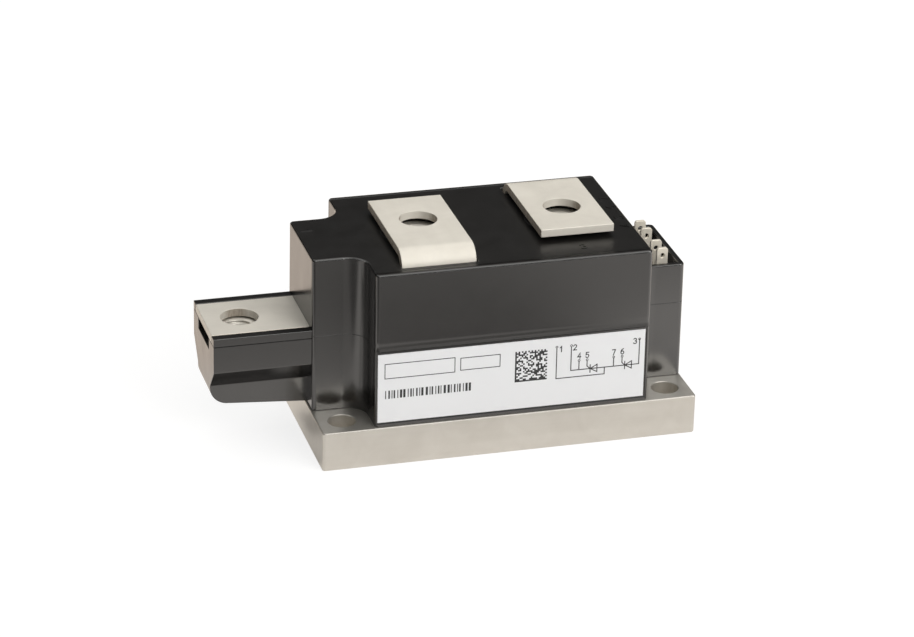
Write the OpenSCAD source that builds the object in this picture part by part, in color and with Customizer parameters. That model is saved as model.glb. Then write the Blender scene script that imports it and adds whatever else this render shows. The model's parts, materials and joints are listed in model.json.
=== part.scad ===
// Dual thyristor module with a 50 mm wide base plate.
// The origin is on the underside of the base plate, in the middle of its four mounting holes.
// +X runs towards the gate terminals, the label faces -Y, +Z is up. All sizes are in millimetres.

/* [Base plate] */
// Length of the base plate
base_l = 92; // [90:0.5:96]
// Width of the base plate
base_w = 50; // [49:0.5:56]
// Thickness of the base plate
base_t = 9.8; // [8:0.1:14]
// Radius of the plate's upright corners
base_corner_r = 0.8; // [0.3:0.1:3]
// Distance from the base plate's ends to the mounting holes
mount_edge = 6; // [5:0.1:7]
// Distance between the mounting holes across the width
mount_pitch_w = 38; // [36:0.5:40]
// Diameter of the mounting holes
mount_d = 6.5; // [5:0.1:7]

/* [Housing] */
// Distance from the base plate's end to the body wall on the side of the low terminal
bolt_room_left = 12.7; // [11.5:0.1:13.5]
// Distance from the base plate's end to the body wall on the side of the gate terminals
bolt_room_right = 12.2; // [11:0.1:13]
// Distance from the base plate's long edges to the foot of the body
body_setback = 0.6; // [0.2:0.1:1]
// Height of the frame, from the base plate to the joint with the cover
frame_h = 19.2; // [17:0.1:22]
// Height of the cover above the joint
cover_h = 19.4; // [18:0.1:23]
// Thickness of the side walls at the top, where they are thinnest
wall = 1.8; // [1.2:0.1:2.2]
// Thickness of the cover's top
roof_t = 2; // [1.5:0.1:3]
// Slope of the long side walls, in degrees
draft = 0.9; // [0.2:0.1:1.4]
// Radius of the upright outer edges
edge_r = 1; // [0.4:0.1:2]
// Thickness of the locating lip under the cover
lip_t = 0.8; // [0.5:0.1:1.2]
// Depth of the locating lip below the joint
lip_h = 1.5; // [0.8:0.1:3]

/* [End block] */
// Distance from the base plate's end to the face of the end block
end_setback = 0.4; // [0:0.1:1.5]
// Width of the end block at its foot
end_w = 25.2; // [24.6:0.1:26]
// Radius of the hollow corners beside the end block
end_notch_r = 5; // [2:0.5:7]

/* [Tongue] */
// Length of the tongue beyond the end block
tongue_l = 23.4; // [21:0.1:28]
// Width of the tongue
tongue_w = 23; // [22.4:0.1:24.4]
// Depth of the tongue's upright sides below the joint
tongue_side_h = 7.4; // [6:0.1:8.4]
// Width of the keel under the tongue
keel_w = 14; // [12:0.5:16]
// Height of the slanted shoulders beside the keel
shoulder_h = 5.3; // [4:0.1:6]
// Space between the keel's foot and the level of the base plate's top
keel_gap = 0.1; // [0.1:0.1:1]
// Rise of the keel's underside from the end block to the tongue's end
keel_rise = 1.4; // [0.2:0.1:2.5]
// Radius of the keel's lower end
keel_r = 4.4; // [2:0.1:5]
// Height of the slot in the tongue's end face
end_slot_h = 2.8; // [1:0.1:4]
// Width of the slot in the tongue's end face
end_slot_w = 12; // [8:0.5:13]
// Depth of the terminal's seat below the joint
seat_d = 0.7; // [0.3:0.1:1.1]

/* [Gate block] */
// Distance from the base plate's end to the face of the gate block
gate_setback = 0; // [0:0.1:1.2]
// Width of the gate block at its foot
gate_w = 25.7; // [25:0.1:27]
// Height of the gate block above the joint
gate_h = 9.9; // [8:0.1:13]
// Radius of the hollow corners beside the gate block
gate_notch_r = 5; // [2:0.5:7]
// Radius of the gate block's upright outer edges
gate_edge_r = 1.2; // [0.5:0.1:3]
// Depth of the tray round the gate tabs
tray_d = 3.2; // [2:0.1:5]
// Thickness of the tray's outer walls
tray_wall = 1.4; // [1:0.1:2]
// Thickness of the tray's floor
tray_floor_t = 1.8; // [1.2:0.1:3]

/* [Power terminals] */
// Width of the terminal bars
bar_w = 18; // [15:0.5:18.5]
// Thickness of the terminal bars
bar_t = 2; // [1.5:0.1:2.2]
// Inside radius of the small bends
bend_r = 1; // [0.6:0.1:1.2]
// Outside radius of the large bend at the top
crown_r = 4.4; // [4:0.1:7]
// Diameter of the screw holes in the bars
screw_hole_d = 9; // [8.4:0.1:10]
// Distance from the body wall to the left top terminal
cathode_inset = 16.2; // [15.7:0.1:16.9]
// Distance from the body wall to the right top terminal
anode_inset = 15.4; // [15.2:0.1:16.2]
// Distance from a top terminal's hole to its free edge
free_edge = 13; // [11:0.1:15]
// Distance from a top terminal's hole to the outer face of its riser
riser_reach = 19.6; // [18.6:0.1:20]
// Space between the cover and the underside of the top terminals
plate_gap = 1; // [0.6:0.1:2]
// Space in front of a riser in its slot in the cover
riser_room = 1; // [0.2:0.1:1.5]
// Distance from the tongue's end to the low terminal's hole
low_hole_edge = 8.6; // [8.2:0.1:10]
// Space between the end block's inner wall and the midpoint bar's riser
riser_gap = 1.7; // [1.4:0.1:2.5]
// Reach of the contact legs beyond the middle of a stack
leg_reach = 9.3; // [8:0.1:9.6]

/* [Terminal nuts] */
// Width across flats of the nuts
nut_af = 13; // [12.5:0.1:13.2]
// Height of the nuts
nut_h = 6.5; // [5:0.1:7]
// Diameter of the nuts' threaded hole, at the crest of the thread
nut_thread_d = 6.8; // [6.4:0.1:7]
// Distance from the low terminal's underside to its nut
low_nut_drop = 0.4; // [0.3:0.1:1.2]
// Distance from the top terminals' underside to their nuts
top_nut_drop = 1.3; // [1.1:0.1:3]
// Diameter of the space for the screw's end under a nut
screw_space_d = 9; // [8.4:0.1:10]
// Depth of the space for the screw's end under a nut
screw_space_h = 4.5; // [3:0.1:5]
// Thickness of the wells round the top nuts
well_t = 1.6; // [1:0.1:1.8]

/* [Gate terminals] */
// Width of the gate tabs
tab_w = 2.8; // [2.4:0.1:3.2]
// Thickness of the gate tabs
tab_t = 0.8; // [0.5:0.1:1]
// Height of the gate tabs above the tray's floor
tab_h = 6.2; // [5:0.1:8]
// Length of the tabs below the tray's floor
tab_tail = 2.4; // [1.5:0.1:3]
// Distance from the gate block's face to the middle of the tabs
tab_inset = 4.6; // [4.2:0.1:6]
// Distance between the two tabs of a pair
tab_pitch = 4.7; // [4:0.1:5]
// Distance from the gate block's sides to the outer tabs
tab_side = 4.45; // [4.2:0.05:5.5]
// Diameter of the hole in a tab
tab_hole_d = 1.2; // [0.8:0.1:1.4]
// Distance from a tab's top to its hole
tab_hole_drop = 2; // [1.6:0.1:2.5]

/* [Thyristor stacks] */
// Distance from the long edges of the terminal bars to the pellets' rims
pellet_inset = 0; // [0:0.1:1]
// Thickness of the silicon pellets
pellet_t = 0.8; // [0.5:0.1:1.2]
// Thickness of the molybdenum discs
disc_t = 1.5; // [1.2:0.1:2]
// Width of the free rim of the pellet round the cathode disc
pellet_rim = 1; // [0.5:0.1:1.5]
// Thickness of the ceramic insulators
ceramic_t = 1; // [0.6:0.1:1.5]
// Overhang of the ceramic insulators round the anode discs
ceramic_rim = 2; // [1:0.1:3]
// Diameter of the gate passage through the cathode side
gate_hole_d = 5; // [4:0.1:6]
// Diameter of the gate contact pins
pin_d = 3; // [2.4:0.1:3.4]
// Height of a pin's collar above the contact leg
pin_rise = 1.6; // [1.4:0.1:2]
// Height of the insulating caps
cap_h = 4.2; // [4:0.1:5]
// Overhang of the caps round the pellets
cap_rim = 0.3; // [0.1:0.1:0.6]

/* [Clamps] */
// Thickness of the pressure plates
pressure_t = 2.5; // [2:0.1:3.5]
// Diameter of the pressure plates' guide pins
guide_d = 6; // [5:0.1:7]
// Thickness of a disc spring
spring_t = 1.3; // [0.8:0.1:1.6]
// Height of a disc spring's cone
spring_cone = 0.7; // [0.4:0.1:1]
// Thickness of the clamp bridges
clamp_t = 4.4; // [3.5:0.1:5]
// Width of the clamp bridges' arms
clamp_arm_w = 9; // [7.5:0.1:11]
// Diameter of the clamp screws
clamp_screw_d = 4; // [3:0.1:4.4]
// Diameter of the clamp screws' heads
clamp_head_d = 7; // [6.5:0.1:7.4]
// Height of the clamp screws' heads
clamp_head_h = 3.4; // [2.5:0.1:4]
// Depth of the clamp screws' thread in the base plate
clamp_thread_h = 7; // [5:0.1:7.2]
// Wall of the insulating sleeves round the clamp screws
sleeve_t = 0.6; // [0.4:0.1:0.8]

/* [Leads] */
// Diameter of the leads
lead_d = 1.2; // [0.8:0.1:1.4]
// Wire diameter of the gate springs
gate_spring_wire = 0.4; // [0.3:0.05:0.5]
// Number of turns of a gate spring
gate_spring_turns = 3; // [2:1:4]

/* [Label] */
// Distance from the body wall to the label's left end
label_inset = 0.6; // [0.3:0.1:8]
// Height of the label
label_h = 17.4; // [12:0.1:17.8]
// Thickness of the label
label_t = 0.15; // [0.05:0.01:0.25]
// Depth of the label's recess
recess_d = 0.3; // [0.26:0.01:0.5]
// Space round the label in its recess
label_margin = 0.4; // [0.2:0.1:0.5]
// Height of the recess above the base plate
recess_foot = 0.7; // [0.4:0.1:1]

/* [Fits] */
// Space at each side of a piece that slips into its seat
slip = 0.15; // [0.1:0.05:0.25]
// Space at each side of a piece in a close seat
close = 0.05; // [0.02:0.01:0.1]
// Space kept round the insulated sleeves
free = 0.4; // [0.3:0.1:0.6]

/* [Hidden] */

$fn = 64;

// Cutters reach this far past the faces they cut
over = 1;
// Larger than the whole module, for half spaces
far = 200;
// Overlap of outlines that become one wall
weld = 0.5;

// Levels, from the underside of the base plate upwards
base_z = base_t;
seam_z = base_z + frame_h;
top_z = seam_z + cover_h;
low_plate_z = seam_z - seat_d;
top_plate_z = top_z + plate_gap;
gate_top_z = seam_z + gate_h;
tray_z = gate_top_z - tray_d;
keel_z = base_z + keel_gap;

// Places along the length, from the ends of the base plate inwards
mount_x = base_l / 2 - mount_edge;
body_left = base_l / 2 - bolt_room_left;
body_right = base_l / 2 - bolt_room_right;
end_reach = base_l / 2 - end_setback;
gate_reach = base_l / 2 - gate_setback;
cathode_x = cathode_inset - body_left;
anode_x = body_right - anode_inset;
label_l = 2 * (body_left - label_inset);

// Width of the body where it stands on the base plate
body_w = base_w - 2 * body_setback;

// Walls: the cavity is upright and the outer faces lean, so the foot of a wall is thicker than its top
lean = tan(draft) * (top_z - base_z);
inset = wall + lean;
tongue_end = end_reach + tongue_l;
low_hole_x = -(tongue_end - low_hole_edge);
midpoint_face = -end_reach + inset + riser_gap;
shell_h = top_z + over;

// Levels of the thyristor stacks
lower_leg_z = base_z + ceramic_t;
anode_disc_z = lower_leg_z + bar_t;
pellet_z = anode_disc_z + disc_t;
cathode_disc_z = pellet_z + pellet_t;
upper_leg_z = cathode_disc_z + disc_t;
cap_z = upper_leg_z + bar_t;
pressure_z = cap_z + cap_h;
spring_z = pressure_z + pressure_t;
spring_pair_h = 2 * (spring_t + spring_cone);
clamp_z = spring_z + spring_pair_h;
clamp_top_z = clamp_z + clamp_t;

// Sizes across the stacks
stack_x = [cathode_x, anode_x];
pellet_d = bar_w - 2 * pellet_inset;
cap_d = pellet_d + 2 * cap_rim;
sleeve_id = clamp_screw_d + 2 * slip;
sleeve_od = sleeve_id + 2 * sleeve_t;
clamp_y = (cap_d + sleeve_od) / 2 + slip;
clamp_end = clamp_y + clamp_head_d / 2 + slip;
ceramic_w = pellet_d + 2 * ceramic_rim;

// Nuts and their wells
nut_corner_d = nut_af / cos(30);
pocket_d = (nut_af + 2 * slip) / cos(30);
low_nut_z = low_plate_z - low_nut_drop - nut_h;
top_nut_z = top_plate_z - top_nut_drop - nut_h;
well_d = pocket_d + 2 * well_t;
well_tip_d = screw_space_d + 2 * well_t;
well_tip_z = top_nut_z - screw_space_h - well_t;
seat_d_top = bar_w - 2 * slip;

// Gate tabs, numbered from front to back
tab_x = gate_reach - tab_inset;
tab_outer_y = gate_w / 2 - tab_side;
tab_y = [-tab_outer_y, tab_pitch - tab_outer_y, tab_outer_y - tab_pitch, tab_outer_y];
tab_top_z = tray_z + tab_h;
tab_foot_z = tray_z - tray_floor_t - tab_tail;
tab_corner_r = tab_w / 4;

// Bores and pins inside the caps
cap_bore_d = pin_d + 2 * slip;
pin_tip_d = gate_hole_d / 2;
pin_collar_z = cap_z + pin_rise - lead_d;
pin_top_z = cap_z + pin_rise;
cap_bore_top_z = pressure_z - bar_t / 2;
lead_z = cap_z + lead_d / 2 + slip;
lead_slot_w = lead_d + 2 * slip;

metal = "#cfc8bb";
copper = "#c98d62";
steel = "#9a9a98";
plastic = "#3a3937";
ceramic = "#e9e6dc";

// Plain building shapes

// Rectangle with round corners, from corner a to corner b
module round_rect(a, b, r) {
  translate([a.x + r, a.y]) square([b.x - a.x - 2 * r, b.y - a.y]);
  translate([a.x, a.y + r]) square([b.x - a.x, b.y - a.y - 2 * r]);
  for (x = [a.x + r, b.x - r], y = [a.y + r, b.y - r]) {
    translate([x, y]) circle(r);
  }
}

// Filling of an inner corner at the origin, in the quarter where x and y are positive
module corner_fill(r) {
  difference() {
    translate([-weld, -weld]) square(r + weld);
    translate([r, r]) circle(r);
  }
}

// Quarter of a bent strip about the origin, turned by quarters
module bend(inner_r, quarter, t = bar_t) {
  rotate(90 * quarter) intersection() {
    difference() {
      circle(inner_r + t);
      circle(inner_r);
    }
    square(inner_r + t + over);
  }
}

// Strip rectangle between two corners
module strip(a, b) {
  translate(a) square([b.x - a.x, b.y - a.y]);
}

// Extrudes a Y-Z outline along X, from x0
module along_x(x0, length) {
  translate([x0, 0, 0]) rotate([90, 0, 90]) linear_extrude(length) children();
}

// Extrudes an X-Z outline across Y, centred
module across_y(width) {
  translate([0, width / 2, 0]) rotate([90, 0, 0]) linear_extrude(width) children();
}

// Stands on an inner bolt circle: both sides of both stacks
module at_clamp_screws() {
  for (x = stack_x, side = [-1, 1]) {
    translate([x, side * clamp_y, 0]) children();
  }
}

// Routes of leads: corners are cut twice, so that a hand-placed route becomes a smooth one

function unit(v) = v / norm(v);
function last(p) = p[len(p) - 1];
function cut_corners(p) = [
  p[0],
  for (i = [0 : len(p) - 2]) each [p[i] * 0.75 + p[i + 1] * 0.25, p[i] * 0.25 + p[i + 1] * 0.75],
  last(p)
];
function heading(p, i) = unit(p[min(i + 1, len(p) - 1)] - p[max(i - 1, 0)]);
function first_side(t) = unit(cross(t, abs(t.x) < 0.9 ? [1, 0, 0] : [0, 1, 0]));
function side_way(p, i) = i == 0
  ? first_side(heading(p, 0))
  : let (s = side_way(p, i - 1), t = heading(p, i)) unit(s - t * (s * t));

// Round tube along the points of a route
module tube(route, d, sides) {
  rings = len(route);
  points = [
    for (i = [0 : rings - 1])
      let (s = side_way(route, i), u = cross(heading(route, i), s))
        for (k = [0 : sides - 1])
          route[i] + d / 2 * (cos(360 * k / sides) * s + sin(360 * k / sides) * u)
  ];
  walls = [
    for (i = [0 : rings - 2], k = [0 : sides - 1])
      let (n = (k + 1) % sides)
        [i * sides + k, (i + 1) * sides + k, (i + 1) * sides + n, i * sides + n]
  ];
  start = [for (k = [0 : sides - 1]) k];
  finish = [for (k = [sides - 1 : -1 : 0]) (rings - 1) * sides + k];
  polyhedron(points, concat([start, finish], walls), convexity = 4);
}

// Housing outlines

// Body with the end block, moved inwards by a wall
module body_plan(inward) {
  r = max(edge_r - inward, 0.3);
  left = -body_left + inward;
  half_end = end_w / 2 - inward;
  half_body = body_w / 2 - inward;
  round_rect([left, -half_body], [body_right - inward, half_body], r);
  round_rect([-end_reach + inward, -half_end], [left + edge_r + weld, half_end], r);
  for (side = [0, 1]) mirror([0, side, 0]) {
    translate([left, half_end]) mirror([1, 0, 0]) corner_fill(end_notch_r + inward);
  }
}

// Gate block, moved inwards by a wall
module gate_plan(inward) {
  r = max(gate_edge_r - inward, 0.3);
  right = body_right - inward;
  half_gate = gate_w / 2 - inward;
  round_rect([right - gate_edge_r - weld, -half_gate], [gate_reach - inward, half_gate], r);
  for (side = [0, 1]) mirror([0, side, 0]) {
    translate([right, half_gate]) corner_fill(gate_notch_r + inward);
  }
}

// Stands in the plane of the leaning front wall, with its foot at the origin
module on_front_wall() {
  translate([0, -body_w / 2, base_z]) rotate([-draft, 0, 0]) children();
}

// Solid between two levels whose front and back walls lean inwards towards the top
module leaning(z0, z1) {
  for (side = [0, 1]) mirror([0, side, 0]) intersection() {
    on_front_wall() translate([0, body_w / 2, -over - base_z]) linear_extrude(far) children();
    translate([-far / 2, -far, z0]) cube([far, far, z1 - z0]);
  }
}

// Space inside the housing between two levels
module cavity(z0, z1) {
  translate([0, 0, z0]) linear_extrude(z1 - z0) children();
}

// Way of the midpoint bar along the tongue and through the end wall, to behind its riser
module bar_way(z0, z1) {
  x0 = -tongue_end - over;
  x1 = midpoint_face + bar_t + slip;
  translate([x0, -bar_w / 2 - slip, z0]) cube([x1 - x0, bar_w + 2 * slip, z1 - z0]);
}

// Six-sided space for a nut with the screw space below it
module nut_space(nut_z, open_z) {
  translate([0, 0, nut_z]) rotate(30) cylinder(d = pocket_d, h = open_z - nut_z, $fn = 6);
  translate([0, 0, nut_z - screw_space_h]) cylinder(d = screw_space_d, h = screw_space_h + over);
}

// Cross-section of the tongue: upright sides, slanted shoulders and a narrow keel
module tongue_section() {
  side_z = seam_z - tongue_side_h;
  shoulder_z = side_z - shoulder_h;
  polygon([
    [-tongue_w / 2, low_plate_z], [-tongue_w / 2, side_z], [-keel_w / 2, shoulder_z], [-keel_w / 2, 0],
    [keel_w / 2, 0], [keel_w / 2, shoulder_z], [tongue_w / 2, side_z], [tongue_w / 2, low_plate_z]
  ]);
}

// Side view of the tongue, with the round lower end and the sloping underside
module tongue_outline() {
  x0 = -tongue_end;
  x1 = -end_reach + inset;
  end_z = keel_z + keel_rise;
  strip([x0, end_z + keel_r], [x1, seam_z + over]);
  translate([x0 + keel_r, end_z + keel_r]) circle(keel_r);
  polygon([
    [x0 + keel_r, end_z + keel_r + over], [x0 + keel_r, end_z],
    [-end_reach, keel_z], [x1, keel_z], [x1, seam_z]
  ]);
}

module tongue() {
  difference() {
    intersection() {
      along_x(-tongue_end, tongue_end - end_reach + inset) tongue_section();
      across_y(tongue_w + over) tongue_outline();
    }
    translate([low_hole_x, 0, 0]) nut_space(low_nut_z, seam_z + over);
    translate([-tongue_end - over, -end_slot_w / 2, low_plate_z - end_slot_h])
      cube([low_hole_edge + over, end_slot_w, end_slot_h + over]);
  }
}

// Base plate and housing

module base_plate() {
  color(metal) difference() {
    linear_extrude(base_t) round_rect([-base_l / 2, -base_w / 2], [base_l / 2, base_w / 2], base_corner_r);
    for (x = [-1, 1], y = [-1, 1]) {
      translate([x * mount_x, y * mount_pitch_w / 2, -over])
        cylinder(d = mount_d, h = base_t + 2 * over);
    }
    at_clamp_screws() translate([0, 0, base_z - clamp_thread_h - free])
      cylinder(d = clamp_screw_d + 2 * close, h = clamp_thread_h + free + over);
  }
}

module housing_frame() {
  color(plastic) {
    difference() {
      leaning(base_z, seam_z) {
        body_plan(0);
        gate_plan(0);
      }
      cavity(base_z - over, seam_z + over) {
        body_plan(inset);
        gate_plan(inset);
      }
      bar_way(low_plate_z, seam_z + over);
      on_front_wall() translate([-label_l / 2 - label_margin, -over, recess_foot])
        cube([label_l + 2 * label_margin, over + recess_d, frame_h + over]);
    }
    difference() {
      tongue();
      cavity(base_z - over, seam_z + over) body_plan(inset);
    }
  }
}

// Lip under the cover, which centres it in the frame
module lip() {
  difference() {
    union() {
      cavity(seam_z - lip_h, seam_z) {
        body_plan(inset + slip);
        gate_plan(inset + slip);
      }
      cavity(seam_z, seam_z + lip_h) {
        body_plan(wall);
        gate_plan(wall);
      }
    }
    cavity(seam_z - lip_h - over, seam_z + lip_h + over) {
      body_plan(inset + slip + lip_t);
      gate_plan(inset + slip + lip_t);
    }
    bar_way(seam_z - lip_h - over, low_plate_z + bar_t + slip);
  }
}

// Wells that hold the nuts under the top terminals
module wells() {
  for (x = stack_x) translate([x, 0, 0]) {
    translate([0, 0, top_nut_z - well_t])
      cylinder(d = well_d, h = top_z - roof_t - top_nut_z + well_t + weld);
    translate([0, 0, well_tip_z]) cylinder(d = well_tip_d, h = screw_space_h + well_t);
    translate([0, 0, top_z - weld]) cylinder(d = seat_d_top, h = plate_gap + weld - slip);
  }
}

// Rails beside the low terminal, level with its top
module rails() {
  rail_y = bar_w / 2 + slip;
  rail_w = tongue_w / 2 - rail_y;
  for (side = [0, 1]) mirror([0, side, 0]) {
    translate([-tongue_end, rail_y, low_plate_z]) cube([tongue_l, rail_w, bar_t]);
    translate([-tongue_end, rail_y, seam_z]) cube([tongue_l + wall, rail_w, bar_t - seat_d]);
  }
}

module housing_cover() {
  color(plastic) difference() {
    union() {
      difference() {
        union() {
          leaning(seam_z, top_z) body_plan(0);
          leaning(seam_z, gate_top_z) gate_plan(0);
        }
        cavity(seam_z - over, top_z - roof_t) body_plan(inset);
        cavity(seam_z - over, tray_z - tray_floor_t) gate_plan(inset);
        bar_way(seam_z - over, low_plate_z + bar_t + slip);
        tray();
      }
      lip();
      wells();
      rails();
    }
    for (x = stack_x) translate([x, 0, 0]) nut_space(top_nut_z, top_plate_z + over);
    translate([cathode_x, 0, 0]) riser_slot();
    translate([anode_x, 0, 0]) mirror([0, 1, 0]) riser_slot();
    for (y = tab_y) translate([tab_x, y, tray_z - tray_floor_t / 2])
      cube([tab_w + 2 * close, tab_t + 2 * close, tray_floor_t + over], center = true);
  }
}

// Tray round the gate tabs, open to the body's end wall
module tray() {
  half_tray = gate_w / 2 - lean - tray_wall;
  translate([body_right, -half_tray, tray_z])
    cube([gate_reach - tray_wall - body_right, 2 * half_tray, top_z]);
}

// Slot in the cover's top that follows the bend of a top terminal with its riser at -Y
module riser_slot() {
  crown_z = top_plate_z + bar_t - crown_r;
  along_x(-bar_w / 2 - slip, bar_w + 2 * slip) {
    translate([crown_r - riser_reach, crown_z]) bend(crown_r - bar_t - slip, 1, bar_t + 2 * slip);
    strip([-riser_reach - riser_room, top_z - roof_t - over], [-riser_reach + bar_t + slip, top_z + weld]);
  }
}

module label() {
  color("white") on_front_wall() translate([-label_l / 2, recess_d - label_t, recess_foot + label_margin])
    cube([label_l, label_t, label_h]);
}

// Power terminals

// Side view of a top terminal with its riser at -Y and its contact leg at leg_z
module top_bar_outline(leg_z) {
  outer = bend_r + bar_t;
  face = -riser_reach;
  plate_top = top_plate_z + bar_t;
  strip([face + crown_r, top_plate_z], [free_edge, plate_top]);
  translate([face + crown_r, plate_top - crown_r]) bend(crown_r - bar_t, 1);
  strip([face, leg_z + outer], [face + bar_t, plate_top - crown_r]);
  translate([face + outer, leg_z + outer]) bend(bend_r, 2);
  strip([face + outer, leg_z], [leg_reach, leg_z + bar_t]);
}

// Top terminal standing over the origin
module top_bar(leg_z) {
  difference() {
    along_x(-bar_w / 2, bar_w) top_bar_outline(leg_z);
    translate([0, 0, top_plate_z - over]) cylinder(d = screw_hole_d, h = bar_t + 2 * over);
    translate([0, -clamp_y, leg_z - over]) cylinder(d = sleeve_od + 2 * free, h = bar_t + 2 * over);
  }
}

// Passage for the gate pin through a contact leg
module gate_passage(x) {
  translate([x, 0, upper_leg_z - over]) cylinder(d = gate_hole_d, h = bar_t + 2 * over);
}

module cathode_bar() {
  color(metal) difference() {
    translate([cathode_x, 0, 0]) top_bar(upper_leg_z);
    gate_passage(cathode_x);
  }
}

module anode_bar() {
  color(metal) translate([anode_x, 0, 0]) mirror([0, 1, 0]) top_bar(lower_leg_z);
}

// Side view of the midpoint bar: low terminal, riser, leg under stack a, step, leg over stack b
module midpoint_outline() {
  outer = bend_r + bar_t;
  face = midpoint_face;
  step = (cathode_x + anode_x - bar_t) / 2;
  strip([-tongue_end, low_plate_z], [face - bend_r, low_plate_z + bar_t]);
  translate([face - bend_r, low_plate_z - bend_r]) bend(bend_r, 0);
  strip([face, lower_leg_z + outer], [face + bar_t, low_plate_z - bend_r]);
  translate([face + outer, lower_leg_z + outer]) bend(bend_r, 2);
  strip([face + outer, lower_leg_z], [step - bend_r, lower_leg_z + bar_t]);
  translate([step - bend_r, lower_leg_z + outer]) bend(bend_r, 3);
  strip([step, lower_leg_z + outer], [step + bar_t, upper_leg_z - bend_r]);
  translate([step + outer, upper_leg_z - bend_r]) bend(bend_r, 1);
  strip([step + outer, upper_leg_z], [anode_x + leg_reach, upper_leg_z + bar_t]);
}

module midpoint_bar() {
  color(metal) difference() {
    across_y(bar_w) midpoint_outline();
    translate([low_hole_x, 0, low_plate_z - over]) cylinder(d = screw_hole_d, h = bar_t + 2 * over);
    gate_passage(anode_x);
  }
}

module nut() {
  difference() {
    rotate(30) cylinder(d = nut_corner_d, h = nut_h, $fn = 6);
    translate([0, 0, -over]) cylinder(d = nut_thread_d, h = nut_h + 2 * over);
  }
}

module low_terminal_nut() {
  color(steel) translate([low_hole_x, 0, low_nut_z]) nut();
}

module cathode_terminal_nut() {
  color(steel) translate([cathode_x, 0, top_nut_z]) nut();
}

module anode_terminal_nut() {
  color(steel) translate([anode_x, 0, top_nut_z]) nut();
}

// Gate terminals and their leads

// Slim tab with rounded top corners, numbered from front to back
module tab(number) {
  half = tab_w / 2;
  color(metal) translate([tab_x, tab_y[number], 0]) difference() {
    across_y(tab_t) {
      strip([-half, tab_foot_z], [half, tab_top_z - tab_corner_r]);
      strip([-half + tab_corner_r, tab_foot_z], [half - tab_corner_r, tab_top_z]);
      for (side = [-1, 1]) {
        translate([side * (half - tab_corner_r), tab_top_z - tab_corner_r]) circle(tab_corner_r);
      }
    }
    translate([0, 0, tab_top_z - tab_hole_drop]) rotate([90, 0, 0])
      cylinder(d = tab_hole_d, h = tab_t + 2 * over, center = true);
  }
}

// Where the leads of stack a pass the clamp of stack b
lead_pass_y = -(clamp_end + riser_reach) / 2;
lead_pass_z = (cap_z + clamp_z) / 2;
mid_x = (cathode_x + anode_x) / 2;
door_x = body_right - inset;
door_y = gate_w / 4;
pin_gap = pin_d / 2 + slip;

// Route from a front tab, past stack b and down between the stacks
function long_route(number, level) = [
  [tab_x, tab_y[number], tab_foot_z],
  [tab_x, tab_y[number], level],
  [door_x, -door_y, level],
  [door_x - bar_t, lead_pass_y, level],
  [mid_x, lead_pass_y, level]
];

// Route from a back tab down the gate block
function short_route(number, level) = [
  [tab_x, tab_y[number], tab_foot_z],
  [tab_x, tab_y[number], level]
];

gate_route_a = concat(long_route(0, lead_pass_z + 2 * lead_d), [
  [mid_x - bar_t, -door_y, lead_z + bar_t],
  [cathode_x + cap_d / 2 + bar_t, 0, lead_z],
  [cathode_x + cap_d / 2, 0, lead_z],
  [cathode_x + pin_gap, 0, lead_z]
]);
touch_x_a = cathode_x + bar_w / 2 - lead_d;
touch_y_a = -leg_reach + lead_d;
cathode_route_a = concat(long_route(1, lead_pass_z), [
  [touch_x_a, touch_y_a, lead_pass_z],
  [touch_x_a, touch_y_a, cap_z]
]);
touch_x_b = anode_x + leg_reach - lead_d;
touch_y_b = bar_w / 2 - lead_d;
cathode_route_b = concat(short_route(2, lead_pass_z + 2 * lead_d), [
  [touch_x_b, touch_y_b, lead_pass_z + 2 * lead_d],
  [touch_x_b, touch_y_b, cap_z]
]);
gate_route_b = concat(short_route(3, lead_pass_z), [
  [door_x, door_y, lead_pass_z],
  [anode_x + cap_d / 2 + bar_t, 0, lead_z],
  [anode_x + cap_d / 2, 0, lead_z],
  [anode_x + pin_gap, 0, lead_z]
]);

module lead(route) {
  tube(cut_corners(cut_corners(route)), lead_d, 8);
}

module gate_lead_4() {
  color("white") lead(gate_route_a);
}

module cathode_lead_5() {
  color("firebrick") lead(cathode_route_a);
}

module cathode_lead_6() {
  color("firebrick") lead(cathode_route_b);
}

module gate_lead_7() {
  color("white") lead(gate_route_b);
}

// Thyristor stacks, each about the line x = stack_x[i], y = 0

// Square plate with round notches for the sleeves of the clamp screws
module ceramic_insulator(i) {
  color(ceramic) difference() {
    translate([stack_x[i] - ceramic_w / 2, -ceramic_w / 2, base_z]) cube([ceramic_w, ceramic_w, ceramic_t]);
    at_clamp_screws() translate([0, 0, base_z - over])
      cylinder(d = sleeve_od + 2 * free, h = ceramic_t + 2 * over);
  }
}

module anode_disc(i) {
  color(steel) translate([stack_x[i], 0, anode_disc_z]) cylinder(d = pellet_d, h = disc_t);
}

// The pellet's edge is bevelled towards the cathode side
module silicon_pellet(i) {
  color("dimgray") translate([stack_x[i], 0, pellet_z])
    cylinder(d1 = pellet_d, d2 = pellet_d - pellet_rim, h = pellet_t);
}

module cathode_disc(i) {
  color(steel) translate([stack_x[i], 0, cathode_disc_z]) difference() {
    cylinder(d = pellet_d - 2 * pellet_rim, h = disc_t);
    translate([0, 0, -over]) cylinder(d = gate_hole_d, h = disc_t + 2 * over);
  }
}

// Slim pin through the cathode side, with a collar under its spring
module gate_pin(i) {
  color(copper) translate([stack_x[i], 0, 0]) {
    translate([0, 0, cathode_disc_z]) cylinder(d = pin_tip_d, h = pin_top_z - cathode_disc_z);
    translate([0, 0, pin_collar_z]) cylinder(d = pin_d, h = pin_top_z - pin_collar_z);
  }
}

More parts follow.
